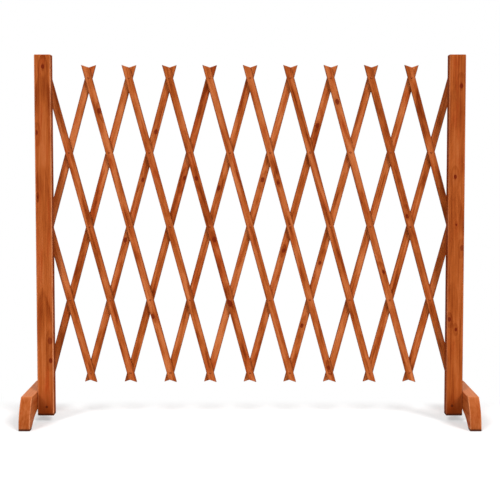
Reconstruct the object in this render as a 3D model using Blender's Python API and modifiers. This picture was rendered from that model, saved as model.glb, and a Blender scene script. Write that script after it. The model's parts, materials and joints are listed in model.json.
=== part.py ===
"""Expandable garden fence in stained fir.

Two layers of slats cross in a lattice that folds like scissors. Every crossing inside the fence is riveted, and the
rivets are fast in the front slats and turn in the back ones. The ends of the lattice hang on the backs of two posts,
and each post is screwed to an arched foot.

Metres, +Z up, +X along the fence, -Y towards the viewer. The origin is on the floor, half way along, in the plane
between the layers of slats.
"""

import math

import bmesh
import bpy
from mathutils import Matrix

# Counts: rows are numbered from the top, columns are counted in whole pitches from the left post
ROWS = 5
MIDDLE_ROW = 3
PITCHES = 10
FRONT, BACK = 1, -1
# The row at which each slat's joint carries it, from the left post
FRONT_JOINT_ROWS = (3, 4, 3, 2, 1, 4, 3, 2, 1, 4, 3)
BACK_JOINT_ROWS = (3, 4, 5, 2, 3, 4, 5, 2, 3, 4, 5)

# Clearance between pieces that touch, and how far cutters run past what they cut
GAP = 0.0003
OVERRUN = 0.002

# Lattice
PIVOT_SPACING = 0.210
REST_PITCH = 0.110
WIDEST_PITCH = 0.1675
FOLD_CLEARANCE = 0.001
LATTICE_SETBACK = 0.4655

# Slats
SLAT_WIDTH = 0.020
SLAT_THICKNESS = 0.007
SLAT_ARRIS = 0.0007
TOP_TAIL = 0.039
BOTTOM_TAIL = 0.030
PINNED_TAIL = 0.015
FISHTAIL_CUT = math.radians(34)

# Rivets, and the pins that hang the lattice on the posts
PIVOT_RADIUS = 0.002
RIVET_HEAD_RADIUS = 0.0030
RIVET_HEAD_HEIGHT = 0.0012
RIVET_SINK = 0.001
PIN_HEAD_RADIUS = 0.0045
PIN_HEAD_HEIGHT = 0.0018
PIN_REACH = 0.012
WASHER_RADIUS = 0.0055
HEAD_SHOULDER_SHARE = 0.7
HEAD_SHOULDER_HEIGHT_SHARE = 0.8
HEAD_RIM_SHARE = 0.3

# Posts
POST_WIDTH = 0.045
POST_DEPTH = 0.030
POST_TOP = 1.000
POST_BOTTOM = 0.017
POST_ARRIS = 0.0022
PIN_INSET = 0.0135

# Feet
FOOT_LENGTH = 0.288
FOOT_HEIGHT = 0.085
FOOT_THICKNESS = 0.031
FOOT_PAD = 0.025
FOOT_ARRIS = 0.003
NOSE_SETBACK = 0.0375
ARCH_RISE = 0.036

# Screws that hold a foot to its post
SCREW_LENGTH = 0.055
SCREW_RADIUS = 0.0022
SCREW_HEAD_RADIUS = 0.0045
SCREW_HEAD_HEIGHT = 0.003
SCREW_TIP = 0.006
SCREW_SPACING = 0.022
SCREW_TOP_EDGE = 0.014

# Facets
PIVOT_SIDES = 10
HEAD_SIDES = 12
NOSE_STEPS = 8
ARCH_STEPS = 14
ARRIS_STEPS = 2
SHARP_ANGLE = math.radians(35)

# Places that follow from the sizes above
REST_ANGLE = math.asin(REST_PITCH / 2 / PIVOT_SPACING)
CLOSED_ANGLE = math.asin((SLAT_WIDTH + FOLD_CLEARANCE) / PIVOT_SPACING) / 2
OPEN_ANGLE = math.asin(WIDEST_PITCH / 2 / PIVOT_SPACING)
LATTICE_HEIGHT = POST_TOP - LATTICE_SETBACK
LAYER_OFFSET = (GAP + SLAT_THICKNESS) / 2
LATTICE_FACE = GAP / 2 + SLAT_THICKNESS
WASHER_THICKNESS = RIVET_HEAD_HEIGHT + GAP
POST_BACK = -(LATTICE_FACE + WASHER_THICKNESS + 2 * GAP)
POST_Y = POST_BACK - POST_DEPTH / 2
END_PIVOT_X = PITCHES / 2 * REST_PITCH
POST_X = END_PIVOT_X - PIN_INSET + POST_WIDTH / 2
FOOT_X = POST_X + POST_WIDTH / 2 + GAP + FOOT_THICKNESS / 2
FOOT_FACE_X = FOOT_X + FOOT_THICKNESS / 2
SCREW_HEIGHT = FOOT_HEIGHT - SCREW_TOP_EDGE

STAIN = (0.43, 0.11, 0.028)
STEEL = (0.33, 0.22, 0.15)


def row_spacing(angle):
    """Height between neighbouring rows of pivots, with the slats leaning at this angle."""
    return PIVOT_SPACING * math.cos(angle)


def row_height(row, angle=REST_ANGLE):
    return LATTICE_HEIGHT + (MIDDLE_ROW - row) * row_spacing(angle)


def column(layer, number, row):
    """The column at which a slat crosses a row. Front slats run down to the right, back slats down to the left."""
    return number + layer * (row - MIDDLE_ROW) / 2


def column_x(place):
    return (place - PITCHES / 2) * REST_PITCH


def slat_rows(layer, number):
    """First and last row that a slat reaches before it would pass a post."""
    rows = [r for r in range(1, ROWS + 1) if 0 <= column(layer, number, r) <= PITCHES]
    return rows[0], rows[-1]


def new_collection(name):
    made = bpy.data.collections.new(name)
    bpy.context.scene.collection.children.link(made)
    return made


def clear_scene():
    for obj in list(bpy.data.objects):
        bpy.data.objects.remove(obj, do_unlink=True)


def finish(name, colour, roughness, metallic):
    """A new Principled material."""
    material = bpy.data.materials.new(name)
    material.use_nodes = True
    shader = material.node_tree.nodes["Principled BSDF"]
    shader.inputs["Base Color"].default_value = (*colour, 1)
    shader.inputs["Roughness"].default_value = roughness
    shader.inputs["Metallic"].default_value = metallic
    return material


def wood(name, step):
    """Stained fir. Each piece of timber takes the stain a little lighter or darker than the next."""
    tone = 1 + (step * 7 % 5 - 2) / 12
    return finish(name, [c * tone for c in STAIN], 0.55, 0)


def steel(name):
    return finish(name, STEEL, 0.45, 0.8)


def place(name, mesh, material, parent=None, location=(0, 0, 0), rotation=(0, 0, 0)):
    """A named piece of the fence. Pieces may share a mesh, so the material belongs to the object."""
    obj = bpy.data.objects.new(name, mesh)
    fence.objects.link(obj)
    obj.parent = parent
    obj.location = location
    obj.rotation_euler = rotation
    if not mesh.materials:
        mesh.materials.append(None)
    obj.material_slots[0].link = "OBJECT"
    obj.material_slots[0].material = material
    return obj


def place_cutter(name, mesh, location=(0, 0, 0), rotation=(0, 0, 0)):
    obj = bpy.data.objects.new(name, mesh)
    cutters.objects.link(obj)
    obj.location = location
    obj.rotation_euler = rotation
    obj.hide_render = True
    obj.display_type = "WIRE"
    return obj


def cut(piece, cutter):
    boolean = piece.modifiers.new(cutter.name, "BOOLEAN")
    boolean.operation = "DIFFERENCE"
    boolean.object = cutter


def ease_edges(piece, width, segments):
    bevel = piece.modifiers.new("eased edges", "BEVEL")
    bevel.width = width
    bevel.segments = segments
    bevel.limit_method = "ANGLE"


def baked(obj, name):
    """The mesh of an object with its modifiers applied, taking the object away."""
    bpy.context.view_layer.update()
    graph = bpy.context.evaluated_depsgraph_get()
    mesh = bpy.data.meshes.new_from_object(obj.evaluated_get(graph))
    mesh.name = name
    bpy.data.objects.remove(obj)
    return mesh


def extruded(name, outline, thickness):
    """A closed flat outline, drawn in X and Z, given a thickness along Y."""
    curve = bpy.data.curves.new(name, "CURVE")
    curve.dimensions = "2D"
    curve.fill_mode = "BOTH"
    curve.extrude = thickness / 2
    spline = curve.splines.new("POLY")
    spline.points.add(len(outline) - 1)
    for point, (x, z) in zip(spline.points, outline):
        point.co = (x, z, 0, 1)
    spline.use_cyclic_u = True
    guide = bpy.data.objects.new(name, curve)
    cutters.objects.link(guide)
    mesh = baked(guide, name)
    mesh.transform(Matrix.Rotation(math.pi / 2, 4, "X"))
    form = bmesh.new()
    form.from_mesh(mesh)
    bmesh.ops.remove_doubles(form, verts=form.verts, dist=GAP / 10)
    bmesh.ops.recalc_face_normals(form, faces=form.faces)
    form.to_mesh(mesh)
    form.free()
    return mesh


def turned(name, profile, sides, closed=False):
    """A profile of (radius, height) pairs, running down its outer side, turned about Z."""
    mesh = bpy.data.meshes.new(name)
    pairs = list(zip(range(len(profile)), range(1, len(profile))))
    if closed:
        pairs.append((len(profile) - 1, 0))
    mesh.from_pydata([(r, 0, z) for r, z in profile], pairs, [])
    guide = bpy.data.objects.new(name, mesh)
    cutters.objects.link(guide)
    screw = guide.modifiers.new("turn", "SCREW")
    screw.steps = screw.render_steps = sides
    screw.use_merge_vertices = True
    screw.merge_threshold = GAP / 10
    made = baked(guide, name)
    made.shade_smooth()
    made.set_sharp_from_angle(angle=SHARP_ANGLE)
    return made


def rods(name, radius, length, places):
    """Round rods along Y, one centred on each (x, z) place."""
    form = bmesh.new()
    for x, z in places:
        bmesh.ops.create_cone(
            form,
            cap_ends=True,
            segments=PIVOT_SIDES,
            radius1=radius,
            radius2=radius,
            depth=length,
            matrix=Matrix.Translation((x, 0, z)) @ Matrix.Rotation(math.pi / 2, 4, "X"),
        )
    mesh = bpy.data.meshes.new(name)
    form.to_mesh(mesh)
    form.free()
    return mesh


def arc(centre_x, centre_z, radius, start, end, steps):
    """Points along an arc, both ends included."""
    angles = [start + (end - start) * i / steps for i in range(steps + 1)]
    return [(centre_x + radius * math.cos(a), centre_z + radius * math.sin(a)) for a in angles]


def slat_end(pivot_row, tail, sign):
    """The two corners of a slat's end, first the left one seen from the front of an upright slat. A free end is cut
    to half a fishtail, with its long point on the outer edge. The end on a post's middle pin is square."""
    reach = (MIDDLE_ROW - pivot_row) * PIVOT_SPACING
    if pivot_row == MIDDLE_ROW:
        return [(-SLAT_WIDTH / 2, sign * PINNED_TAIL), (SLAT_WIDTH / 2, sign * PINNED_TAIL)]
    long_point = reach + sign * tail
    notch = long_point - sign * SLAT_WIDTH * math.tan(FISHTAIL_CUT)
    heights = (long_point, notch) if sign > 0 else (notch, long_point)
    return [(-SLAT_WIDTH / 2, heights[0]), (SLAT_WIDTH / 2, heights[1])]


def slat_mesh(first_row, last_row, riveted):
    """An upright slat, its origin at the middle row. It carries rivets at some rows and is drilled at the others."""
    top = slat_end(first_row, TOP_TAIL, 1)
    bottom = slat_end(last_row, BOTTOM_TAIL, -1)
    board = place("slat blank", extruded("slat blank", top + bottom[::-1], SLAT_THICKNESS), None)
    ease_edges(board, SLAT_ARRIS, 1)
    rows = range(first_row, last_row + 1)
    label = f"{first_row}-{last_row} {len(riveted)}"
    drilled = [(0, (MIDDLE_ROW - row) * PIVOT_SPACING) for row in rows if row not in riveted]
    if drilled:
        drill = rods("pivot drill", PIVOT_RADIUS + GAP, SLAT_THICKNESS + 2 * OVERRUN, drilled)
        cut(board, place_cutter(f"pivot drill {label}", drill))
    for row in riveted:
        where = (0, LAYER_OFFSET, (MIDDLE_ROW - row) * PIVOT_SPACING)
        rivet = place_cutter(f"rivet {label} {row}", rivet_mesh(), where, (-math.pi / 2, 0, 0))
        boolean = board.modifiers.new(rivet.name, "BOOLEAN")
        boolean.operation = "UNION"
        boolean.object = rivet
    return baked(board, f"slat {label}")


def head_profile(radius, height, under, sign):
    """A low domed head, from its crown to its underside. Sign is 1 where the crown is on top."""
    levels = (1, HEAD_SHOULDER_HEIGHT_SHARE, HEAD_RIM_SHARE, 0)
    radii = (0, radius * HEAD_SHOULDER_SHARE, radius, radius)
    return [(r, under + sign * height * level) for r, level in zip(radii, levels)]


def rivet_mesh():
    """A rivet along Z, measured from the lattice plane: its clenched tail behind the back slat, its head sunk a
    little into the front slat's face."""
    tail = head_profile(RIVET_HEAD_RADIUS, RIVET_HEAD_HEIGHT, LATTICE_FACE + GAP, 1)
    head = head_profile(RIVET_HEAD_RADIUS, RIVET_HEAD_HEIGHT, -LATTICE_FACE, -1)
    seat = RIVET_SINK - LATTICE_FACE
    shank = [(PIVOT_RADIUS, LATTICE_FACE + GAP), (PIVOT_RADIUS, seat), (RIVET_HEAD_RADIUS, seat)]
    return turned("rivet", tail + shank + head[-2::-1], PIVOT_SIDES)


def pin_mesh(name, under):
    """A headed pin along Z that reaches from the underside of its head, at this height, down into a post. Its
    height is measured from the lattice plane."""
    tip = POST_BACK - PIN_REACH
    profile = head_profile(PIN_HEAD_RADIUS, PIN_HEAD_HEIGHT, under, 1)
    profile += [(PIVOT_RADIUS, under), (PIVOT_RADIUS, tip), (0, tip)]
    return turned(name, profile, HEAD_SIDES)


def ring_mesh(name, top, bottom):
    """A washer or spacer round a pin, along Z, between two heights measured from the lattice plane."""
    bore = PIVOT_RADIUS + GAP
    profile = [(bore, top), (WASHER_RADIUS, top), (WASHER_RADIUS, bottom), (bore, bottom)]
    return turned(name, profile, HEAD_SIDES, closed=True)


def screw_profile(room):
    """A countersunk wood screw, its head's flat at the origin. With room it is the hole that the screw sits in."""
    top = OVERRUN if room else 0
    profile = [(0, top), (SCREW_HEAD_RADIUS + room, top)]
    if room:
        profile.append((SCREW_HEAD_RADIUS + room, 0))
    profile.append((SCREW_RADIUS + room, -SCREW_HEAD_HEIGHT - room))
    profile.append((SCREW_RADIUS + room, SCREW_TIP - SCREW_LENGTH - room))
    profile.append((0, -SCREW_LENGTH - room))
    return profile


def groove_mesh():
    """The round-ended groove that an end pin runs in as the lattice folds, standing along Z and cut along Y."""
    travel = 2 * (row_spacing(CLOSED_ANGLE) - row_spacing(OPEN_ANGLE))
    radius = PIVOT_RADIUS + GAP
    half = travel / 2 + GAP
    outline = arc(0, half, radius, 0, math.pi, PIVOT_SIDES // 2)
    outline += arc(0, -half, radius, math.pi, 2 * math.pi, PIVOT_SIDES // 2)
    return extruded("pin groove", outline, PIN_REACH + GAP + OVERRUN)


def groove_height(row):
    """Middle of an end pin's travel."""
    return (row_height(row, CLOSED_ANGLE) + row_height(row, OPEN_ANGLE)) / 2


def foot_outline():
    """The foot seen from its side: flat on top, convex noses, and an arch between two pads."""
    half = FOOT_LENGTH / 2
    nose_radius = (NOSE_SETBACK**2 + FOOT_HEIGHT**2) / (2 * NOSE_SETBACK)
    nose_turn = math.asin(FOOT_HEIGHT / nose_radius)
    chord = half - FOOT_PAD
    arch_radius = (chord**2 + ARCH_RISE**2) / (2 * ARCH_RISE)
    arch_turn = math.asin(chord / arch_radius)
    rear = arc(half - nose_radius, 0, nose_radius, 0, nose_turn, NOSE_STEPS)
    front = arc(nose_radius - half, 0, nose_radius, math.pi - nose_turn, math.pi, NOSE_STEPS)
    start, end = math.pi / 2 + arch_turn, math.pi / 2 - arch_turn
    return rear + front + arc(0, ARCH_RISE - arch_radius, arch_radius, start, end, ARCH_STEPS)


def post_mesh():
    form = bmesh.new()
    bmesh.ops.create_cube(form, size=1)
    bmesh.ops.scale(form, vec=(POST_WIDTH, POST_DEPTH, POST_TOP - POST_BOTTOM), verts=form.verts)
    mesh = bpy.data.meshes.new("post")
    form.to_mesh(mesh)
    form.free()
    return mesh


def pivot_empty(name, x, y, z, rotation=(0, 0, 0)):
    """An empty on a joint's axis. Turning it turns the pieces that it carries."""
    empty = bpy.data.objects.new(name, None)
    fence.objects.link(empty)
    empty.location = (x, y, z)
    empty.rotation_euler = rotation
    return empty


def make_post(side, name, anchor):
    """A post, cut on its back for the lattice's pins and at its foot for the screws. Side is -1 at the left."""
    across = side * (POST_X - END_PIVOT_X)
    height = (POST_TOP + POST_BOTTOM) / 2 - LATTICE_HEIGHT
    post = place(f"post_{name}", post_mesh(), wood(f"post_{name}", 1), anchor, (across, POST_Y, height))
    ease_edges(post, POST_ARRIS, ARRIS_STEPS)
    depth = PIN_REACH + GAP + OVERRUN
    drill_y = POST_BACK + OVERRUN - depth / 2
    for row in (1, ROWS):
        where = (side * END_PIVOT_X, drill_y, groove_height(row))
        cut(post, place_cutter(f"pin groove {name} {row}", groove_mesh(), where))
    blind = rods("pin hole", PIVOT_RADIUS + GAP, depth, [(0, 0)])
    cut(post, place_cutter(f"pin hole {name}", blind, (side * END_PIVOT_X, drill_y, LATTICE_HEIGHT)))
    return post


def make_foot(side, name, anchor):
    board = extruded("foot", foot_outline(), FOOT_THICKNESS)
    board.transform(Matrix.Rotation(math.pi / 2, 4, "Z"))
    where = (side * (FOOT_X - END_PIVOT_X), 0, -LATTICE_HEIGHT)
    foot = place(f"foot_{name}", board, wood(f"foot_{name}", 2), anchor, where)
    ease_edges(foot, FOOT_ARRIS, ARRIS_STEPS)
    return foot


def make_screws(side, name, anchor, post, foot):
    """Two countersunk screws, driven from the outside through the foot into the post."""
    outward = (0, side * math.pi / 2, 0)
    for level, height in (("upper", SCREW_HEIGHT), ("lower", SCREW_HEIGHT - SCREW_SPACING)):
        label = f"foot_screw_{level}_{name}"
        hole = turned("screw hole", screw_profile(GAP), HEAD_SIDES)
        drill = place_cutter(f"hole of {label}", hole, (side * FOOT_FACE_X, POST_Y, height), outward)
        cut(post, drill)
        cut(foot, drill)
        where = (side * (FOOT_FACE_X - END_PIVOT_X), POST_Y, height - LATTICE_HEIGHT)
        place(label, turned("screw", screw_profile(0), HEAD_SIDES), steel(label), anchor, where, outward)


def make_side(side, name):
    """A post on its foot, with the pin that carries the middle row of pivots."""
    anchor = pivot_empty(f"joint_post_{name}", side * END_PIVOT_X, 0, LATTICE_HEIGHT)
    post = make_post(side, name, anchor)
    foot = make_foot(side, name, anchor)
    make_screws(side, name, anchor, post, foot)
    toward_back = (-math.pi / 2, 0, 0)
    pin = pin_mesh("middle pin", LATTICE_FACE + GAP)
    place(f"middle_pin_{name}", pin, steel(f"middle_pin_{name}"), anchor, (0, 0, 0), toward_back)
    ring = ring_mesh("middle washer", -LATTICE_FACE - GAP, POST_BACK + GAP)
    place(f"middle_washer_{name}", ring, steel(f"middle_washer_{name}"), anchor, (0, 0, 0), toward_back)


def make_slide_pin(layer, number, row, empty, offset):
    """The pin in a slat's end that runs in a post's groove. A back slat's pin has a long spacer, which crosses the
    front layer's space, and a front slat's has a washer."""
    side = "left" if column(layer, number, row) == 0 else "right"
    level = "top" if row == 1 else "bottom"
    slat_back = -GAP / 2 if layer == FRONT else LATTICE_FACE
    slat_front = -LATTICE_FACE if layer == FRONT else GAP / 2
    turn = (-layer * math.pi / 2, 0, 0)
    pin = pin_mesh("slide pin", slat_back + GAP)
    name = f"{level}_slide_pin_{side}"
    place(name, pin, steel(name), empty, offset, turn)
    ring = ring_mesh("slide ring", slat_front - GAP, POST_BACK + GAP)
    name = f"{level}_slide_{'washer' if layer == FRONT else 'spacer'}_{side}"
    place(name, ring, steel(name), empty, offset, turn)


def make_slat(layer, number, joint_row, meshes):
    """A slat on its joint's axis, and what rides with it. Back slats are front slats turned half round, and have no
    rivets of their own."""
    word = "front" if layer == FRONT else "back"
    label = f"{word}_slat_{number + 1:02d}"
    x = column_x(column(layer, number, joint_row))
    half_turn = 0 if layer == FRONT else math.pi
    where = (x, -layer * LAYER_OFFSET, row_height(joint_row))
    empty = pivot_empty(f"joint_{label}", *where, (0, -REST_ANGLE, half_turn))

    first_row, last_row = slat_rows(layer, number)
    rows = range(first_row, last_row + 1)
    crossings = tuple(row for row in rows if 0 < column(layer, number, row) < PITCHES)
    kind = (first_row, last_row, crossings if layer == FRONT else ())
    if kind not in meshes:
        meshes[kind] = slat_mesh(*kind)
    place(label, meshes[kind], wood(label, number + layer), empty, (0, 0, (joint_row - MIDDLE_ROW) * PIVOT_SPACING))
    for row in sorted({first_row, last_row} - set(crossings) - {MIDDLE_ROW}):
        offset = (0, LAYER_OFFSET, (joint_row - row) * PIVOT_SPACING)
        make_slide_pin(layer, number, row, empty, offset)


def make_lattice():
    meshes = {}
    for layer, joint_rows in ((FRONT, FRONT_JOINT_ROWS), (BACK, BACK_JOINT_ROWS)):
        for number, joint_row in enumerate(joint_rows):
            make_slat(layer, number, joint_row, meshes)


clear_scene()
fence = new_collection("expandable fence")
cutters = new_collection("cutters")
make_side(-1, "left")
make_side(1, "right")
make_lattice()
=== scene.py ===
"""Looks, light and camera for the expandable fence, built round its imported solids.

Metres, +Z up, -Y towards the camera. The wood is procedural: each piece of timber has its own grain, which
runs along it from its own place in the log, and the posts and half of the slats have knots.
"""

import json
import math
import random

import bmesh
import bpy
from mathutils import Matrix, Vector


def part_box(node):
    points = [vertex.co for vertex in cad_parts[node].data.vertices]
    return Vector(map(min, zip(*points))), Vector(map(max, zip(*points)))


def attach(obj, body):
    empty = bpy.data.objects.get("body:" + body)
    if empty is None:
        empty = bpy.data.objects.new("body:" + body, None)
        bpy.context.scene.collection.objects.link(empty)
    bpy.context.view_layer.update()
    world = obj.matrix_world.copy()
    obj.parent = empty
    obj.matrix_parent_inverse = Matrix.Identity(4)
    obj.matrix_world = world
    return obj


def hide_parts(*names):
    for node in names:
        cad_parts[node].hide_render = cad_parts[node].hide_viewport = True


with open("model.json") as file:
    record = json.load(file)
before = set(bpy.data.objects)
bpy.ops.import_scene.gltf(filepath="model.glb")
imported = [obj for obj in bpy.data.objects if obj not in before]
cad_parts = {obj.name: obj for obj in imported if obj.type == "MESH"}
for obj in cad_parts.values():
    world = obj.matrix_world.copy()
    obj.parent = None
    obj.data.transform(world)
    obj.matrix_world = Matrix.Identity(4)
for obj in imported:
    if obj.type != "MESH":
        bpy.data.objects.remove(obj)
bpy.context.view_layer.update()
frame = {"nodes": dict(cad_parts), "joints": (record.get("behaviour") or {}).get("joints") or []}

WHITE = (1, 1, 1, 1)

# Camera: its focal length and shift count in widths of the square picture
FOCAL_WIDTHS = 2.16
SENSOR_MM = 36.0
CAMERA_PLACE = Vector((0.0, -2.962, 0.726))
CAMERA_PITCH = math.radians(3.21)
CAMERA_SHIFT = -0.066

# Light: the strength of the sky in front of the fence and behind it, and the Y of the directions between
# which it changes. Then each soft lamp's azimuth to the right of the camera, elevation and spread, in
# degrees, and its strength
SKY_STRENGTH = 0.15
SKY_BEHIND = 0.95
SKY_CHANGE = (-0.2, 0.9)
LAMPS = {
    "right light": (38, 40, 20, 2.40),
    "left light": (-34, 40, 20, 1.94),
}

# Floor: its shade as the camera sees it, the glow that makes it white, and its shades as it lights the
# object from in front of the fence and from behind it. Then how far behind the fence its shadows begin
# and end fading
FLOOR_SIZE = 400.0
FLOOR_SEEN = 0.60
FLOOR_GLOW = 0.36
FLOOR_FRONT = 0.25
FLOOR_BEHIND = 0.80
FADE_START = 0.10
FADE_END = 0.24

# Colours of the timber, in linear light: four depths of stain, then knots, the arrises of posts and feet,
# worn and with a painted highlight, painted shade on the arrises of slats, sawn ends, a painted highlight
# and sheen on tops, and painted shade on bottoms and undersides
PALE_WOOD = (0.560, 0.162, 0.048)
STAINED_WOOD = (0.405, 0.089, 0.015)
RED_WOOD = (0.390, 0.058, 0.008)
DARK_WOOD = (0.190, 0.025, 0.001)
KNOT_WOOD = (0.145, 0.009, 0.0003)
WORN_AND_HIGHLIT_EDGE = (0.620, 0.220, 0.090)
SLAT_EDGE_SHADE = (0.260, 0.060, 0.014)
END_WOOD = (0.220, 0.044, 0.008)
TOP_HIGHLIGHT_WOOD = (0.580, 0.215, 0.092)
BOTTOM_SHADE_WOOD = (0.060, 0.014, 0.005)

# Finish of the timber: its gloss, how rough pale and dark wood are and how much rougher sawn wood is, and
# how strong and deep the relief of its grain is
WOOD_GLOSS = 0.06
WOOD_ROUGHNESS = (0.58, 0.68)
SAWN_ROUGHNESS = 0.26
RELIEF_STRENGTH = 0.35
RELIEF_DEPTH = 0.0004

# The radius of the arrises of posts and slats, and how blotchy the stain of each kind of timber is
ARRISES = {"post": 0.0022, "slat": 0.0007}
BLOTCHES = {"post": 0.6, "foot": 0.9, "slat": 2.1}

# Beside the arrises: how wide the worn, highlit wood and the slats' painted shade are. Over a bottom: how
# high the painted shade along it and the painted shade low on the posts reach, and how strong they are
WORN_AND_HIGHLIT_WIDTH = 0.0012
SLAT_EDGE_SHADE_WIDTH = 0.0030
BOTTOM_SHADE_HEIGHT = 0.0080
BOTTOM_SHADE_STRENGTH = 0.90
LOW_POST_SHADE_HEIGHT = 0.085
LOW_POST_SHADE = 0.85

# The log: the widths of a year's ring and of a fibre. How far its pith lies to a piece's side at most, and
# through the piece as shares of that. For a foot these change places, and the first has this share. Then
# from which lengths along the log pieces are cut, how little a length along it counts in the rings, which
# so run out at the faces, and how far the grain strays
RING_WIDTH = 0.0028
FIBRE_WIDTH = 0.0006
PITH_DISTANCE = 0.060
PITH_SHARES = (0.7, 1.5)
FOOT_PITH_SHARE = 0.3
LOG_LENGTHS = (2, 40)
TAPER = (1.0, 1.0, 0.010)
STRAY = (0.016, 0.016, 0.0)

# Rings: where in a year the dark late wood begins, is full and ends, and how dark the palest year is
LATE_RISE = (0.25, 0.86)
LATE_FALL = (1.00, 0.93)
YEAR_DEPTHS = (0.35, 1.00)

# Noises of the wood: how many grains to the metre across, through and along, their detail and roughness
NOISES = {
    "wander": ((9.0, 9.0, 2.3), 2.0, 0.5),
    "fibre": ((1 / FIBRE_WIDTH, 1 / FIBRE_WIDTH, 22.0), 3.0, 0.6),
    "streak": ((260.0, 100.0, 7.0), 3.0, 0.6),
    "band": ((90.0, 30.0, 2.2), 2.0, 0.5),
    "blotch": ((70.0, 34.0, 13.0), 3.0, 0.6),
    "redness": ((60.0, 60.0, 9.0), 3.0, 0.6),
    "pore": ((950.0, 950.0, 70.0), 1.0, 0.5),
    "rim_wear_and_light": ((70.0, 70.0, 12.0), 3.0, 0.6),
}
REDNESS_PLACE = (3.0, 5.0, 0.0)

# How much each of these darkens the wood. A noise does so from its middle, and below it makes the wood
# paler. The darkening of side faces is painted shade
DARKENING = {"late": 0.34, "streak": 1.10, "fibre": 0.55, "band": 0.60, "pore": 0.15, "side": 0.34}

# How much each of these stands out in the relief, or lies deeper
RELIEF = {"late": 0.35, "fibre": -0.55, "pore": -0.50}

# Where each effect begins and is full, and its least and greatest share: pores and redness by their
# noise, the breaks in the arrises' worn wood and painted light by their noise, sawn ends, and sides with
# their painted shade, by how far a face is turned to them, and the painted highlight on tops and the
# painted shade on undersides by how far a face is turned up
PORES = (0.64, 0.74)
REDNESS = (0.48, 0.72, 0.0, 0.8)
RIM_BREAK_RAMP = (0.36, 0.62, 0.35, 1.0)
END_FACES = (0.45, 0.80)
END_SHARE = 0.40
SIDE_FACES = (0.55, 0.85)
TOP_HIGHLIGHT = (0.60, 0.95, 0.0, 0.6)
UNDERSIDE_SHADE = (-0.10, -0.45, 0.0, 0.85)

# A foot's rounded arrises, worn and with a painted highlight: how far sideways a face looks where these
# begin and are full, and where they end
FOOT_WEAR_AND_HIGHLIGHT_BEGINS = (0.04, 0.30)
FOOT_WEAR_AND_HIGHLIGHT_ENDS = (0.999, 0.94)

# Every knot: how much a distance from it counts across, through and along, for itself and for the grain
# that it bends; its ragged rim, which begins and is full at these radii; its rings; and the bend and
# shade round it
KNOT_STRETCH = (1.0, 0.30, 0.68)
BEND_STRETCH = (1.0, 0.20, 0.36)
RAGGED_NOISE = ((300.0, 300.0, 300.0), 3.0, 0.6)
RAGGED_RADII = 0.5
KNOT_RIM = (1.35, 0.95)
KNOT_RING_TURNS = 30.0
KNOT_RING_DEPTH = 0.13
BEND_RADII = 1.9
BEND_RINGS = 1.3
HALO = 0.30

# How dark the timber is, from 0 to 1, how far slats stray from it, and how much worn wood and painted
# highlight the posts' arrises show
POST_TONE = {"left": 0.44, "right": 0.53}
FOOT_TONE = {"left": 0.32, "right": 0.25}
SLAT_TONE = {"front": 0.36, "back": 0.41}
SLAT_TONE_SPREAD = 0.13
POST_WEAR_AND_HIGHLIGHT = {"left": 1.0, "right": 0.4}

# Seeds of the timber: each piece's place in the log
POST_SEED = 11
FOOT_SEED = 21
SLAT_SEED = 140

# Knots of the posts: the radius of a knot of size 1, and the size from which knots are paler, and their
# depth. Then how far up each lies and how far across from the left, both as shares, and its size
POST_KNOT = 0.0046
WIDE_KNOT = 1.25
WIDE_KNOT_DEPTH = 0.75
POST_KNOT_SHARES = {
    "left": (
        (0.967, 0.53, 1.0), (0.787, 0.09, 1.2), (0.609, 0.13, 0.8), (0.210, 0.80, 1.6), (0.155, 0.83, 1.2),
    ),
    "right": (
        (0.914, 0.73, 1.1), (0.665, 0.42, 1.0), (0.533, 0.51, 0.6), (0.469, 0.87, 1.3), (0.270, 0.15, 1.1),
        (0.242, 0.55, 0.9),
    ),
}

# Knots of the slats: the radius of a knot of size 1 and the depth of all. Then the row where each lies,
# counted from the top, how far it is from the middle of the slat as a share of half its width, and its
# size
SLAT_KNOT = 0.0062
SLAT_KNOT_DEPTH = 0.95
SLAT_KNOT_SHARES = {
    "front_slat_03": ((1.45, 0.55, 1.0), (4.22, -0.50, 0.9)),
    "front_slat_05": ((2.35, -0.10, 0.8), (3.18, 0.20, 1.0), (4.04, -0.40, 1.3)),
    "front_slat_07": ((2.41, -0.10, 0.7), (4.93, 0.10, 0.8)),
    "front_slat_09": ((1.32, 0.00, 1.0), (3.62, 0.30, 0.7)),
    "front_slat_10": ((2.86, -0.20, 0.8),),
    "back_slat_03": ((1.72, 0.25, 0.9), (2.37, 0.15, 0.8), (3.19, -0.30, 0.9)),
    "back_slat_04": ((2.34, 0.50, 0.8),),
    "back_slat_05": ((2.49, -0.45, 0.9),),
    "back_slat_06": ((2.37, 0.00, 0.9),),
    "back_slat_07": ((1.64, -0.10, 0.9), (3.33, 0.10, 0.8)),
    "back_slat_08": ((3.50, 0.00, 0.7), (4.36, -0.20, 0.8)),
}

# Metal: its colour and that of the stain that is rubbed into it, then its shine, roughness and gloss. Dull
# for screws and pins, stained over with the wood for rivets, and sunk for the screws low on the posts
DULL_STEEL = ((0.165, 0.095, 0.055), (0.050, 0.022, 0.010), 0.80, 0.40, 0.50)
STAINED_STEEL = ((0.360, 0.078, 0.014), (0.230, 0.044, 0.008), 0.15, 0.60, 0.20)
SUNK_STEEL = ((0.130, 0.018, 0.003), (0.060, 0.008, 0.001), 0.00, 0.70, WOOD_GLOSS)

# Its finish: the noise of the stain and where it begins and is full, the share of the shine and the
# roughness that stain has, and the fine relief
STAIN_NOISE = ((700.0, 700.0, 700.0), 3.0, 0.6)
STAIN_RAMP = (0.40, 0.66)
STAIN_SHINE_SHARE = 0.2
STAIN_ROUGHNESS = 0.70
METAL_NOISE = ((2600.0, 2600.0, 2600.0), 2.0)
METAL_RELIEF_STRENGTH = 0.25
METAL_RELIEF_DEPTH = 0.0001

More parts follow.
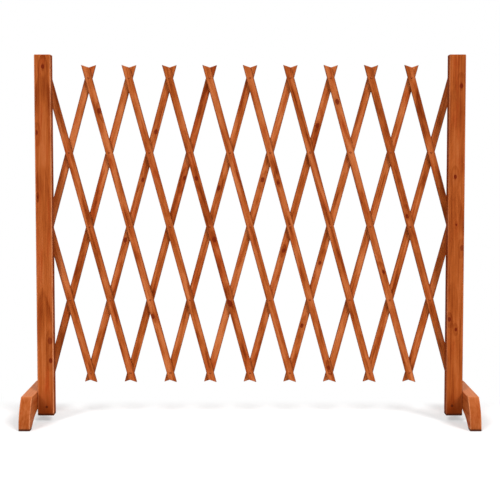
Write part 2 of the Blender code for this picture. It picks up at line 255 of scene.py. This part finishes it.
# Solids: how close points are joined, and the angle of an edge from which it stays sharp
JOIN_DISTANCE = 0.00001
SHARP_EDGE = math.radians(50)
SHARP_SCREW_EDGE = math.radians(40)

# Rivets: the radius of their finished ends, which close over the plain ones, and how far heads and tails
# stand out. The hollow in a tail: its floor and its radius as shares of the tail's. Then into how many
# steps a full turn, a dome and a bead are cut
HEAD_RADIUS = 0.0032
HEAD_HEIGHT = 0.0014
TAIL_HEIGHT = 0.0022
TAIL_HOLLOW_SHARE = 0.72
DIMPLE_SHARE = 0.45
TURN_STEPS = 28
DOME_STEPS = 6
BEAD_STEPS = 8
# How near a post's pivots a slat has no rivet, as a share of the pivots' spacing
END_CLEAR_SHARE = 0.1

# Foot screws, as shares of the head's radius and of the whole length
SCREW_FACE_SHARE = 0.94
SCREW_RIM_SHARE = 0.10
SCREW_CONE_SHARE = 0.66
SCREW_SHANK_SHARE = 0.49
SCREW_POINT_SHARE = 0.89

# Screw heads low on the posts, as shares of the post's height and width, and the cross in every screw
# head
POST_SCREW_SHARES = {"left": (0.025, 0.56), "right": (0.028, 0.36)}
POST_SCREW_RADIUS = 0.0036
POST_SCREW_HEIGHT = 0.0007
CROSS_LENGTH_SHARE = 1.15
CROSS_WIDTH_SHARE = 0.30
CROSS_DEPTH_SHARE = 0.55


class Graph:
    """Adds shader nodes to a tree and links them in one call."""

    def __init__(self, tree):
        self.tree = tree

    def add(self, kind, inputs=(), **settings):
        node = self.tree.nodes.new(kind)
        for name, value in settings.items():
            setattr(node, name, value)
        for key, value in dict(inputs).items():
            self.feed(node.inputs[key], value)
        return node

    def feed(self, socket, value):
        if isinstance(value, bpy.types.NodeSocket):
            self.tree.links.new(value, socket)
        else:
            socket.default_value = value

    def math(self, operation, *values, clamp=False):
        node = self.add("ShaderNodeMath", operation=operation, use_clamp=clamp)
        for socket, value in zip(node.inputs, values):
            self.feed(socket, value)
        return node.outputs[0]

    def vector(self, operation, *values):
        node = self.add("ShaderNodeVectorMath", operation=operation)
        for socket, value in zip(node.inputs, values):
            self.feed(socket, value)
        return node.outputs["Value" if operation == "LENGTH" else "Vector"]

    def noise(self, vector, scale, detail=2.0, roughness=0.5, output="Fac"):
        """A noise from 0 to 1 whose grains are this many to the metre along x, y and z."""
        scaled = self.vector("MULTIPLY", vector, scale)
        inputs = {"Vector": scaled, "Scale": 1.0, "Detail": detail, "Roughness": roughness}
        return self.add("ShaderNodeTexNoise", inputs).outputs[output]

    def ramp(self, value, low, high, out_low=0.0, out_high=1.0):
        """A smooth step between two values, from one output to the other."""
        inputs = {"Value": value, "From Min": low, "From Max": high, "To Min": out_low, "To Max": out_high}
        return self.add("ShaderNodeMapRange", inputs, interpolation_type="SMOOTHSTEP").outputs["Result"]

    def blend(self, amount, first, second):
        """Two colours, mixed by an amount from 0, all of the first, to 1, all of the second."""
        node = self.add("ShaderNodeMix", data_type="RGBA")
        self.feed(node.inputs["Factor"], amount)
        for socket, value in ((node.inputs[6], first), (node.inputs[7], second)):
            self.feed(socket, (*value, 1) if isinstance(value, tuple) else value)
        return node.outputs[2]


def new_group(name, inputs, outputs):
    """An empty shader group. Returns the group, its graph and the sockets of what it is given."""
    group = bpy.data.node_groups.new(name, "ShaderNodeTree")
    for label, kind in inputs:
        group.interface.new_socket(label, in_out="INPUT", socket_type=kind)
    for label, kind in outputs:
        group.interface.new_socket(label, in_out="OUTPUT", socket_type=kind)
    graph = Graph(group)
    return group, graph, graph.add("NodeGroupInput").outputs


def knot_group():
    """One knot, as dark as its depth says: how dark it is here, and how far it bends the grain round it."""
    inputs = (
        ("Board", "NodeSocketVector"), ("Centre", "NodeSocketVector"), ("Radius", "NodeSocketFloat"),
        ("Depth", "NodeSocketFloat"),
    )
    outputs = (("Core", "NodeSocketFloat"), ("Bend", "NodeSocketFloat"))
    group, graph, given = new_group("knot", inputs, outputs)
    offset = graph.vector("SUBTRACT", given["Board"], given["Centre"])
    flattened = graph.vector("MULTIPLY", offset, KNOT_STRETCH)
    ragged = graph.math("MULTIPLY", graph.noise(given["Board"], *RAGGED_NOISE), RAGGED_RADII)
    reach = graph.math("DIVIDE", graph.vector("LENGTH", flattened), given["Radius"])
    reach = graph.math("ADD", reach, ragged)
    years = graph.math("SINE", graph.math("MULTIPLY", reach, KNOT_RING_TURNS))
    years = graph.math("ADD", graph.math("MULTIPLY", years, KNOT_RING_DEPTH), 1 - KNOT_RING_DEPTH)
    solid = graph.math("MULTIPLY", graph.ramp(reach, *KNOT_RIM), years)
    core = graph.math("MULTIPLY", solid, given["Depth"])
    long_reach = graph.vector("LENGTH", graph.vector("MULTIPLY", offset, BEND_STRETCH))
    swell = graph.math("DIVIDE", long_reach, graph.math("MULTIPLY", given["Radius"], BEND_RADII))
    bend = graph.math("EXPONENT", graph.math("MULTIPLY", graph.math("MULTIPLY", swell, swell), -1.0))
    graph.add("NodeGroupOutput", {"Core": core, "Bend": bend})
    return group


def timber_group():
    """Stained softwood, from a place in the log: x across, y through and z along the grain."""
    inputs = (
        ("Board", "NodeSocketVector"), ("Log", "NodeSocketVector"), ("Bend", "NodeSocketFloat"),
        ("Core", "NodeSocketFloat"), ("Edge", "NodeSocketFloat"), ("End", "NodeSocketFloat"),
        ("Side", "NodeSocketFloat"), ("Upright", "NodeSocketFloat"), ("Tone", "NodeSocketFloat"),
        ("Blotch", "NodeSocketFloat"), ("Rim", "NodeSocketColor"), ("Rim share", "NodeSocketFloat"),
        ("Bottom shade", "NodeSocketFloat"), ("Low shade", "NodeSocketFloat"),
    )
    outputs = (
        ("Color", "NodeSocketColor"), ("Roughness", "NodeSocketFloat"), ("Height", "NodeSocketFloat"),
    )
    group, graph, given = new_group("stained timber", inputs, outputs)
    place = graph.vector("ADD", given["Board"], given["Log"])

    wander = graph.noise(place, *NOISES["wander"], output="Color")
    strayed = graph.vector("ADD", place, graph.vector("MULTIPLY", wander, STRAY))
    from_pith = graph.vector("LENGTH", graph.vector("MULTIPLY", strayed, TAPER))
    rings = graph.math("DIVIDE", from_pith, RING_WIDTH)
    rings = graph.math("SUBTRACT", rings, graph.math("MULTIPLY", given["Bend"], BEND_RINGS))
    phase = graph.math("FRACT", rings)
    late = graph.math("MULTIPLY", graph.ramp(phase, *LATE_RISE), graph.ramp(phase, *LATE_FALL))
    each_year = graph.add("ShaderNodeTexWhiteNoise", noise_dimensions="1D")
    graph.feed(each_year.inputs["W"], graph.math("FLOOR", rings))
    late = graph.math("MULTIPLY", late, graph.ramp(each_year.outputs["Value"], 0.0, 1.0, *YEAR_DEPTHS))

    fibre = graph.noise(place, *NOISES["fibre"])
    streak = graph.noise(place, *NOISES["streak"])
    band = graph.noise(place, *NOISES["band"])
    blotch = graph.noise(place, *NOISES["blotch"])
    redness = graph.noise(graph.vector("ADD", place, REDNESS_PLACE), *NOISES["redness"])
    pore = graph.ramp(graph.noise(place, *NOISES["pore"]), *PORES)

    depth = graph.math("MULTIPLY", late, DARKENING["late"])
    for noise, share in (
        (streak, DARKENING["streak"]), (fibre, DARKENING["fibre"]), (band, DARKENING["band"]),
        (blotch, given["Blotch"]),
    ):
        depth = graph.math("ADD", depth, graph.math("MULTIPLY", graph.math("SUBTRACT", noise, 0.5), share))
    depth = graph.math("ADD", depth, graph.math("MULTIPLY", pore, DARKENING["pore"]))
    # Painted shade on side faces
    depth = graph.math("ADD", depth, graph.math("MULTIPLY", given["Side"], DARKENING["side"]))
    depth = graph.math("ADD", depth, given["Tone"], clamp=True)

    pale_half = graph.math("MULTIPLY", depth, 2.0, clamp=True)
    dark_half = graph.math("SUBTRACT", graph.math("MULTIPLY", depth, 2.0), 1.0, clamp=True)
    stained = graph.blend(graph.ramp(redness, *REDNESS), STAINED_WOOD, RED_WOOD)
    colour = graph.blend(pale_half, PALE_WOOD, stained)
    colour = graph.blend(dark_half, colour, DARK_WOOD)
    halo = graph.math("MULTIPLY", graph.math("MULTIPLY", given["Bend"], given["Bend"]), HALO)
    colour = graph.blend(halo, colour, DARK_WOOD)
    colour = graph.blend(given["Core"], colour, KNOT_WOOD)
    # Painted shade low on the posts, beside the feet
    colour = graph.blend(given["Low shade"], colour, DARK_WOOD)
    colour = graph.blend(graph.math("MULTIPLY", given["End"], END_SHARE), colour, END_WOOD)
    # A painted highlight and sheen on faces turned up
    colour = graph.blend(graph.ramp(given["Upright"], *TOP_HIGHLIGHT), colour, TOP_HIGHLIGHT_WOOD)
    # Beside the arrises: worn wood with a painted highlight on posts and feet, painted shade on slats
    broken_rim = graph.ramp(graph.noise(place, *NOISES["rim_wear_and_light"]), *RIM_BREAK_RAMP)
    broken_rim = graph.math("MULTIPLY", broken_rim, given["Rim share"])
    colour = graph.blend(graph.math("MULTIPLY", given["Edge"], broken_rim), colour, given["Rim"])
    # Painted shade on faces turned down and along the bottom
    shaded_under = graph.math("MAXIMUM", graph.ramp(given["Upright"], *UNDERSIDE_SHADE), given["Bottom shade"])
    colour = graph.blend(shaded_under, colour, BOTTOM_SHADE_WOOD)

    roughness = graph.ramp(depth, 0.0, 1.0, *WOOD_ROUGHNESS)
    sawn = graph.math("MAXIMUM", given["End"], given["Side"])
    roughness = graph.math("ADD", roughness, graph.math("MULTIPLY", sawn, SAWN_ROUGHNESS))
    height = graph.math("MULTIPLY", late, RELIEF["late"])
    height = graph.math("ADD", height, graph.math("MULTIPLY", fibre, RELIEF["fibre"]))
    height = graph.math("ADD", height, graph.math("MULTIPLY", pore, RELIEF["pore"]))
    graph.add("NodeGroupOutput", {"Color": colour, "Roughness": roughness, "Height": height})
    return group


def new_material(name):
    """An empty material with a Principled shader. Returns the material, its graph and the shader."""
    material = bpy.data.materials.new(name)
    material.use_nodes = True
    return material, Graph(material.node_tree), material.node_tree.nodes["Principled BSDF"]


def edge_mask(graph, board, half, arris, width):
    """1 on the long arrises of a board with these half sizes across and through it.

    Beside them it falls to 0 over this width.
    """
    apart = graph.add("ShaderNodeSeparateXYZ", {"Vector": board}).outputs
    across = graph.math("SUBTRACT", half[0], graph.math("ABSOLUTE", apart["X"]))
    through = graph.math("SUBTRACT", half[1], graph.math("ABSOLUTE", apart["Y"]))
    return graph.ramp(graph.math("ADD", across, through), arris + width, arris)


def timber(name, kind, centre, half, seed, tone, spread=0.0, lean=0.0, knots=(),
           rim=(WORN_AND_HIGHLIT_EDGE, WORN_AND_HIGHLIT_WIDTH), rim_wear_and_light=1.0, bottom=None):
    """The wood of one piece, a post, foot or slat, with these half sizes across and through it.

    The grain of a foot runs from front to back, and any other along a line through the centre that leans to
    the right. The tone is how dark the wood is, give or take the spread. Knots are (across, along, radius,
    depth) from the centre. The rim is the colour and width of the wood beside the arrises, worn wood with a
    painted highlight on posts and feet and painted shade on slats, and the share after it says how much of
    it shows. Over its bottom, if it is given one, the wood gets painted shade, and a post also gets painted
    shade low down beside the feet.
    """
    material, graph, shader = new_material(name)
    chance = random.Random(seed)
    turn = (math.pi / 2, 0, 0) if kind == "foot" else (0, lean, 0)
    where = graph.add("ShaderNodeTexCoord").outputs
    mapping = {"Vector": where["Object"], "Location": centre, "Rotation": turn}
    board = graph.add("ShaderNodeMapping", mapping, vector_type="TEXTURE").outputs[0]
    turned_back = {"Vector": where["Normal"], "Rotation": [-angle for angle in turn]}
    facing = graph.add("ShaderNodeMapping", turned_back, vector_type="VECTOR").outputs[0]
    faces = graph.add("ShaderNodeSeparateXYZ", {"Vector": facing}).outputs
    end_on = graph.ramp(graph.math("ABSOLUTE", faces["Z"]), *END_FACES)
    upright = graph.add("ShaderNodeSeparateXYZ", {"Vector": where["Normal"]}).outputs["Z"]
    sideways = graph.math("ABSOLUTE", faces["X"])
    if kind == "foot":
        side_on = 0.0
        # A foot's rounded arrises get worn wood and a painted highlight
        begins, ends = graph.ramp(sideways, *FOOT_WEAR_AND_HIGHLIGHT_BEGINS), graph.ramp(sideways, *FOOT_WEAR_AND_HIGHLIGHT_ENDS)
        edge = graph.math("MULTIPLY", begins, ends)
    else:
        # Side faces get painted shade, and are rougher as sawn
        side_on = graph.ramp(sideways, *SIDE_FACES)
        edge = edge_mask(graph, board, half, ARRISES[kind], rim[1])

    pith = chance.uniform(-1, 1) * PITH_DISTANCE, PITH_DISTANCE * chance.uniform(*PITH_SHARES)
    along = chance.uniform(*LOG_LENGTHS)
    log = (pith[1], pith[0] * FOOT_PITH_SHARE, along) if kind == "foot" else (*pith, along)
    # Over a bottom: painted shade along it, and on a post painted shade low down beside the feet
    bottom_shade, low_shade = 0.0, 0.0
    if bottom is not None:
        height = graph.add("ShaderNodeSeparateXYZ", {"Vector": where["Object"]}).outputs["Z"]
        bottom_shade = graph.ramp(height, bottom + BOTTOM_SHADE_HEIGHT, bottom + BOTTOM_SHADE_HEIGHT / 2, 0.0, BOTTOM_SHADE_STRENGTH)
        if kind == "post":
            low_shade = graph.ramp(height, bottom + LOW_POST_SHADE_HEIGHT, bottom, 0.0, LOW_POST_SHADE)
    core, bend = 0.0, 0.0
    for across, along, radius, depth in knots:
        inputs = {"Board": board, "Centre": (across, -half[1], along), "Radius": radius, "Depth": depth}
        knot = graph.add("ShaderNodeGroup", node_tree=KNOT)
        for key, value in inputs.items():
            graph.feed(knot.inputs[key], value)
        core = graph.math("MAXIMUM", core, knot.outputs["Core"])
        bend = graph.math("ADD", bend, knot.outputs["Bend"])

    wood = graph.add("ShaderNodeGroup", node_tree=TIMBER)
    inputs = {
        "Board": board, "Log": log, "Core": core, "Bend": bend, "Edge": edge,
        "End": end_on, "Side": side_on, "Upright": upright, "Tone": tone + chance.uniform(-spread, spread),
        "Blotch": BLOTCHES[kind], "Rim": (*rim[0], 1), "Rim share": rim_wear_and_light, "Bottom shade": bottom_shade, "Low shade": low_shade,
    }
    for key, value in inputs.items():
        graph.feed(wood.inputs[key], value)
    relief = {"Height": wood.outputs["Height"], "Strength": RELIEF_STRENGTH, "Distance": RELIEF_DEPTH}
    graph.feed(shader.inputs["Base Color"], wood.outputs["Color"])
    graph.feed(shader.inputs["Roughness"], wood.outputs["Roughness"])
    graph.feed(shader.inputs["Normal"], graph.add("ShaderNodeBump", relief).outputs["Normal"])
    shader.inputs["Specular IOR Level"].default_value = WOOD_GLOSS
    return material


def steel(name, bright, dark, shine, rough, gloss):
    """Dull steel with brown stain rubbed into it."""
    material, graph, shader = new_material(name)
    where = graph.add("ShaderNodeTexCoord").outputs["Object"]
    stain = graph.ramp(graph.noise(where, *STAIN_NOISE), *STAIN_RAMP)
    fine = graph.noise(where, *METAL_NOISE)
    graph.feed(shader.inputs["Base Color"], graph.blend(stain, bright, dark))
    graph.feed(shader.inputs["Metallic"], graph.ramp(stain, 0.0, 1.0, shine, STAIN_SHINE_SHARE * shine))
    graph.feed(shader.inputs["Roughness"], graph.ramp(stain, 0.0, 1.0, rough, STAIN_ROUGHNESS))
    relief = {"Height": fine, "Strength": METAL_RELIEF_STRENGTH, "Distance": METAL_RELIEF_DEPTH}
    graph.feed(shader.inputs["Normal"], graph.add("ShaderNodeBump", relief).outputs["Normal"])
    shader.inputs["Specular IOR Level"].default_value = gloss
    return material


def soft_edges_group():
    """Joins the solids' faces and shades them smoothly over every edge but the sharp ones."""
    group = bpy.data.node_groups.new("soft edges", "GeometryNodeTree")
    group.interface.new_socket("Geometry", in_out="INPUT", socket_type="NodeSocketGeometry")
    group.interface.new_socket("Geometry", in_out="OUTPUT", socket_type="NodeSocketGeometry")
    graph = Graph(group)
    given = graph.add("NodeGroupInput").outputs[0]
    close = {"Geometry": given, "Distance": JOIN_DISTANCE}
    joined = graph.add("GeometryNodeMergeByDistance", close).outputs[0]
    own_normals = {"Geometry": joined, "Name": "custom_normal"}
    plain = graph.add("GeometryNodeRemoveAttribute", own_normals).outputs[0]
    all_faces = {"Geometry": plain, "Shade Smooth": True}
    smooth = graph.add("GeometryNodeSetShadeSmooth", all_faces, domain="FACE").outputs[0]
    angle = graph.add("GeometryNodeInputMeshEdgeAngle").outputs[0]
    gentle = graph.math("LESS_THAN", angle, SHARP_EDGE)
    gentle_edges = {"Geometry": smooth, "Shade Smooth": gentle}
    shaded = graph.add("GeometryNodeSetShadeSmooth", gentle_edges, domain="EDGE").outputs[0]
    graph.add("NodeGroupOutput", {0: shaded})
    return group


def soften(node):
    """Shades a solid softly, by its larger faces."""
    join = node.modifiers.new("soft edges", "NODES")
    join.node_group = SOFT_EDGES
    weights = node.modifiers.new("face weights", "WEIGHTED_NORMAL")
    weights.keep_sharp = True


def dress(name, material):
    """Gives a carried-over solid its material and soft shading."""
    node = frame["nodes"][name]
    node.data.materials.clear()
    node.data.materials.append(material)
    soften(node)


def joint_place(name):
    """Where this joint of the frame is at rest."""
    return Vector(next(joint["pos_m"] for joint in frame["joints"] if joint["name"] == name))


def dress_posts_and_feet():
    for number, side in enumerate(("left", "right")):
        low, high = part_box(f"post_{side}")
        width, depth, height = high - low
        knots = []
        for up, across, size in POST_KNOT_SHARES[side]:
            knot_depth = WIDE_KNOT_DEPTH if size > WIDE_KNOT else 1.0
            knots.append(((across - 0.5) * width, (up - 0.5) * height, size * POST_KNOT, knot_depth))
        # The posts' arrises show worn wood and a painted highlight
        wood = timber(f"wood of post_{side}", "post", (low + high) / 2, (width / 2, depth / 2),
                      POST_SEED + number, POST_TONE[side], knots=knots, rim_wear_and_light=POST_WEAR_AND_HIGHLIGHT[side], bottom=low.z)
        dress(f"post_{side}", wood)
        low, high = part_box(f"foot_{side}")
        width, _, height = high - low
        wood = timber(f"wood of foot_{side}", "foot", (low + high) / 2, (width / 2, height / 2),
                      FOOT_SEED + number, FOOT_TONE[side], bottom=low.z)
        dress(f"foot_{side}", wood)


def dress_slats():
    """Each slat's grain runs along its lean. Its knots are placed by row."""
    for layer, sign in (("front", 1), ("back", -1)):
        for number in range(1, SLATS + 1):
            name = f"{layer}_slat_{number:02d}"
            low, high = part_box(name)
            centre = (low + high) / 2
            centre.y = -sign * FACE / 2
            knots = []
            for row, across, size in SLAT_KNOT_SHARES.get(name, ()):
                height = MIDDLE + (MIDDLE_ROW - row) * PIVOT_SPACING * math.cos(LEAN)
                along = (height - centre.z) / math.cos(LEAN)
                knots.append((across * SLAT_HALF_WIDTH, along, size * SLAT_KNOT, SLAT_KNOT_DEPTH))
            seed = SLAT_SEED + number + SLATS * (sign + 1)
            # The slats' arrises get painted shade
            wood = timber(f"wood of {name}", "slat", centre, (SLAT_HALF_WIDTH, FACE / 2), seed,
                          SLAT_TONE[layer], SLAT_TONE_SPREAD, -sign * LEAN, knots, (SLAT_EDGE_SHADE, SLAT_EDGE_SHADE_WIDTH))
            dress(name, wood)


def turned(name, profile):
    """A smooth solid of revolution about Y, from (radius, y) pairs, first the one nearest the camera."""
    form = bmesh.new()
    points = [form.verts.new((radius, y, 0)) for radius, y in profile]
    edges = [form.edges.new(pair) for pair in zip(points, points[1:])]
    outline = points + edges
    bmesh.ops.spin(form, geom=outline, cent=(0, 0, 0), axis=(0, 1, 0), angle=2 * math.pi, steps=TURN_STEPS)
    bmesh.ops.remove_doubles(form, verts=form.verts, dist=JOIN_DISTANCE)
    bmesh.ops.recalc_face_normals(form, faces=form.faces)
    mesh = bpy.data.meshes.new(name)
    form.to_mesh(mesh)
    form.free()
    return mesh


def dome(radius, height, base, sign):
    """Half the outline of a domed head on a face at y = base. Sign is the way it stands out."""
    angles = [step * math.pi / 2 / DOME_STEPS for step in range(DOME_STEPS + 1)]
    return [(radius * math.sin(a), base + sign * height * math.cos(a)) for a in angles]


def new_piece(name, mesh, body, material):
    """A new piece that rides on a body and takes the fasteners' finish."""
    mesh.shade_smooth()
    mesh.materials.append(material)
    piece = bpy.data.objects.new(name, mesh)
    bpy.context.scene.collection.objects.link(piece)
    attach(piece, body)
    return piece


def rivet_heads(name, places, slat, material):
    """The domed heads in front and the rolled tails behind of one slat's rivets, as one piece."""
    head = dome(HEAD_RADIUS, HEAD_HEIGHT, -FACE, -1)
    rim = HEAD_RADIUS * (1 + DIMPLE_SHARE) / 2
    bead = HEAD_RADIUS - rim
    hollow = FACE + TAIL_HEIGHT * TAIL_HOLLOW_SHARE
    bulge = TAIL_HEIGHT * (1 - TAIL_HOLLOW_SHARE)
    arch = [step * math.pi / BEAD_STEPS for step in range(BEAD_STEPS + 1)]
    tail = [(0, hollow)]
    tail += [(rim - bead * math.cos(a), hollow + bulge * math.sin(a)) for a in arch]
    tail += [(HEAD_RADIUS, FACE)]
    form = bmesh.new()
    for profile in (head, tail):
        mesh = turned("rivet end", profile)
        for place in places:
            copy = mesh.copy()
            copy.transform(Matrix.Translation((place.x, 0, place.z)))
            form.from_mesh(copy)
            bpy.data.meshes.remove(copy)
        bpy.data.meshes.remove(mesh)
    mesh = bpy.data.meshes.new(name)
    form.to_mesh(mesh)
    form.free()
    return new_piece(name, mesh, slat, material)


def rivet_places(slat):
    """The pivots of a front slat that lie between the posts."""
    low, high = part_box(slat)
    joint = joint_place(f"{slat}_pivot")
    along = Vector((-math.sin(LEAN), 0, math.cos(LEAN)))
    places = [joint + along * PIVOT_SPACING * step for step in range(1 - ROWS, ROWS)]
    last = END_X - PIVOT_SPACING * END_CLEAR_SHARE
    return [place for place in places if low.z < place.z < high.z and abs(place.x) < last]


def cut_cross(mesh, radius, top, depth):
    """A turned screw head with a cross cut into it. Its face is at y = top, towards the camera."""
    blades = bmesh.new()
    long, wide = radius * CROSS_LENGTH_SHARE, radius * CROSS_WIDTH_SHARE
    for size in ((long, 2 * depth, wide), (wide, 2 * depth, long)):
        blade = bmesh.ops.create_cube(blades, size=1)["verts"]
        bmesh.ops.scale(blades, vec=size, verts=blade)
        bmesh.ops.translate(blades, vec=(0, top, 0), verts=blade)
    cutter_mesh = bpy.data.meshes.new("cross")
    blades.to_mesh(cutter_mesh)
    blades.free()
    blank = bpy.data.objects.new("blank", mesh)
    cutter = bpy.data.objects.new("cross", cutter_mesh)
    for item in (blank, cutter):
        bpy.context.scene.collection.objects.link(item)
    cut = blank.modifiers.new("cross", "BOOLEAN")
    cut.operation = "DIFFERENCE"
    cut.solver = "EXACT"
    cut.use_self = True
    cut.object = cutter
    shape = blank.evaluated_get(bpy.context.evaluated_depsgraph_get())
    result = bpy.data.meshes.new_from_object(shape)
    for item in (blank, cutter):
        bpy.data.objects.remove(item)
    return result


def sharpen(mesh):
    """Shades a screw smoothly, over every edge but the sharp ones."""
    mesh.shade_smooth()
    mesh.set_sharp_from_angle(angle=SHARP_SCREW_EDGE)


def add_foot_screws(material):
    """Countersunk screws in the outer faces of the feet, in place of the plain ones."""
    for side, sign in (("left", -1), ("right", 1)):
        for level in ("upper", "lower"):
            node = f"foot_screw_{level}_{side}"
            low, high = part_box(node)
            radius, length = (high.z - low.z) / 2, high.x - low.x
            shank = radius * SCREW_SHANK_SHARE
            profile = [
                (0, 0), (radius * SCREW_FACE_SHARE, 0), (radius, radius * SCREW_RIM_SHARE),
                (shank, radius * SCREW_CONE_SHARE), (shank, length * SCREW_POINT_SHARE), (0, length),
            ]
            mesh = cut_cross(turned("screw", profile), radius, 0, radius * CROSS_DEPTH_SHARE)
            turn = Matrix.Rotation(sign * math.pi / 2, 4, "Z")
            outer = Vector((low.x if sign < 0 else high.x, (low.y + high.y) / 2, (low.z + high.z) / 2))
            mesh.transform(Matrix.Translation(outer) @ turn)
            piece = new_piece(f"detailed_{node}", mesh, f"{side}_post", material)
            sharpen(mesh)
            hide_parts(node)


def add_post_screws(material):
    """The head of the screw low on the front of each post."""
    for side, (up, across) in POST_SCREW_SHARES.items():
        low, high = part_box(f"post_{side}")
        profile = dome(POST_SCREW_RADIUS, POST_SCREW_HEIGHT, 0, -1)
        mesh = cut_cross(turned("head", profile + [(0, 0)]), POST_SCREW_RADIUS, -POST_SCREW_HEIGHT,
                         POST_SCREW_HEIGHT * CROSS_DEPTH_SHARE)
        place = (low.x + across * (high.x - low.x), low.y, low.z + up * (high.z - low.z))
        mesh.transform(Matrix.Translation(place))
        new_piece(f"post_screw_{side}", mesh, f"{side}_post", material)
        sharpen(mesh)


def seen_from_outside(graph):
    """1 where the camera sees a thing, directly, mirrored or through glass, and 0 where light meets it."""
    rays = graph.add("ShaderNodeLightPath").outputs
    seen = graph.math("MAXIMUM", rays["Is Camera Ray"], rays["Is Glossy Ray"])
    return graph.math("MAXIMUM", seen, rays["Is Transmission Ray"])


def add_floor():
    """A white floor, with shadows that fade behind the object. It lights the object as a grey one would."""
    bpy.ops.mesh.primitive_plane_add(size=FLOOR_SIZE)
    floor = bpy.context.object
    floor.name = "floor"
    material = bpy.data.materials.new("white floor")
    material.use_nodes = True
    graph = Graph(material.node_tree)
    material.node_tree.nodes.clear()
    seen = seen_from_outside(graph)
    where = graph.add("ShaderNodeTexCoord").outputs["Object"]
    behind = graph.add("ShaderNodeSeparateXYZ", {"Vector": where}).outputs["Y"]
    shade = graph.ramp(behind, -FADE_END, FADE_END, FLOOR_FRONT, FLOOR_BEHIND)
    lit = graph.add("ShaderNodeBsdfDiffuse", {"Color": shade})
    matt = graph.add("ShaderNodeBsdfDiffuse", {"Color": (FLOOR_SEEN, FLOOR_SEEN, FLOOR_SEEN, 1)})
    glow = graph.add("ShaderNodeEmission", {"Color": WHITE, "Strength": FLOOR_GLOW})
    near = graph.add("ShaderNodeAddShader", {0: matt.outputs[0], 1: glow.outputs[0]})
    white = graph.add("ShaderNodeEmission", {"Color": WHITE, "Strength": 1.0})
    fade = graph.ramp(behind, FADE_START, FADE_END)
    shown = graph.add("ShaderNodeMixShader", {0: fade, 1: near.outputs[0], 2: white.outputs[0]})
    surface = graph.add("ShaderNodeMixShader", {0: seen, 1: lit.outputs[0], 2: shown.outputs[0]})
    graph.add("ShaderNodeOutputMaterial", {"Surface": surface.outputs[0]})
    floor.data.materials.append(material)


def add_sky():
    """Soft light all round, brighter from behind. To the camera and in every gloss it is white."""
    world = bpy.data.worlds.new("studio")
    bpy.context.scene.world = world
    world.use_nodes = True
    graph = Graph(world.node_tree)
    world.node_tree.nodes.clear()
    seen = seen_from_outside(graph)
    looking = graph.add("ShaderNodeTexCoord").outputs["Generated"]
    behind = graph.add("ShaderNodeSeparateXYZ", {"Vector": looking}).outputs["Y"]
    light = graph.ramp(behind, *SKY_CHANGE, SKY_STRENGTH, SKY_BEHIND)
    strength = graph.math("MAXIMUM", seen, light)
    sky = graph.add("ShaderNodeBackground", {"Color": WHITE, "Strength": strength})
    graph.add("ShaderNodeOutputWorld", {"Surface": sky.outputs[0]})


def add_lamps():
    """Large soft lamps, far away, one on each side of the camera."""
    for name, (azimuth, elevation, spread, strength) in LAMPS.items():
        lamp = bpy.data.lights.new(name, "SUN")
        lamp.angle = math.radians(spread)
        lamp.energy = strength
        lamp_object = bpy.data.objects.new(name, lamp)
        bpy.context.scene.collection.objects.link(lamp_object)
        lamp_object.rotation_euler = (math.pi / 2 - math.radians(elevation), 0, math.radians(azimuth))


def add_camera():
    """The photograph's view."""
    lens = bpy.data.cameras.new("camera")
    lens.sensor_width = SENSOR_MM
    lens.lens = FOCAL_WIDTHS * SENSOR_MM
    lens.shift_y = CAMERA_SHIFT
    camera = bpy.data.objects.new("camera", lens)
    bpy.context.scene.collection.objects.link(camera)
    camera.location = CAMERA_PLACE
    camera.rotation_euler = (math.pi / 2 - CAMERA_PITCH, 0, 0)
    bpy.context.scene.camera = camera


KNOT = knot_group()
TIMBER = timber_group()
SOFT_EDGES = soft_edges_group()

# The lattice: its slats in each layer, its rows and the middle one. From two pivots of one slat, two rows
# apart: its lean, the pivots' spacing, the middle row's height and how far out the end pivots are. From
# the box of a back slat, which carries no rivets: where its layer's outer face is, and half its width
SLATS = sum(node.startswith("front_slat") for node in frame["nodes"])
ROWS = 5
MIDDLE_ROW = 3
middle_pivot, bottom_pivot = joint_place("front_slat_01_pivot"), joint_place("back_slat_03_pivot")
LEAN = math.atan2(bottom_pivot.x - middle_pivot.x, middle_pivot.z - bottom_pivot.z)
PIVOT_SPACING = (bottom_pivot - middle_pivot).length / 2
MIDDLE, END_X = middle_pivot.z, abs(middle_pivot.x)
slat_low, slat_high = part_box("back_slat_02")
FACE = slat_high.y
slat_length, slat_height = slat_high.x - slat_low.x, slat_high.z - slat_low.z
SLAT_HALF_WIDTH = (slat_length - slat_height * math.tan(LEAN)) * math.cos(LEAN) / 2

dress_posts_and_feet()
dress_slats()
metal = steel("dull steel", *DULL_STEEL)
stained_metal = steel("stained steel", *STAINED_STEEL)
sunk_metal = steel("sunk steel", *SUNK_STEEL)
for name in frame["nodes"]:
    if "pin" in name or "washer" in name or "spacer" in name:
        dress(name, metal)
for number in range(1, SLATS + 1):
    slat = f"front_slat_{number:02d}"
    rivet_heads(f"rivet_heads_{number:02d}", rivet_places(slat), slat, stained_metal)
add_foot_screws(metal)
add_post_screws(sunk_metal)

add_floor()
add_sky()
add_lamps()
add_camera()

bpy.context.scene.view_settings.view_transform = "Standard"
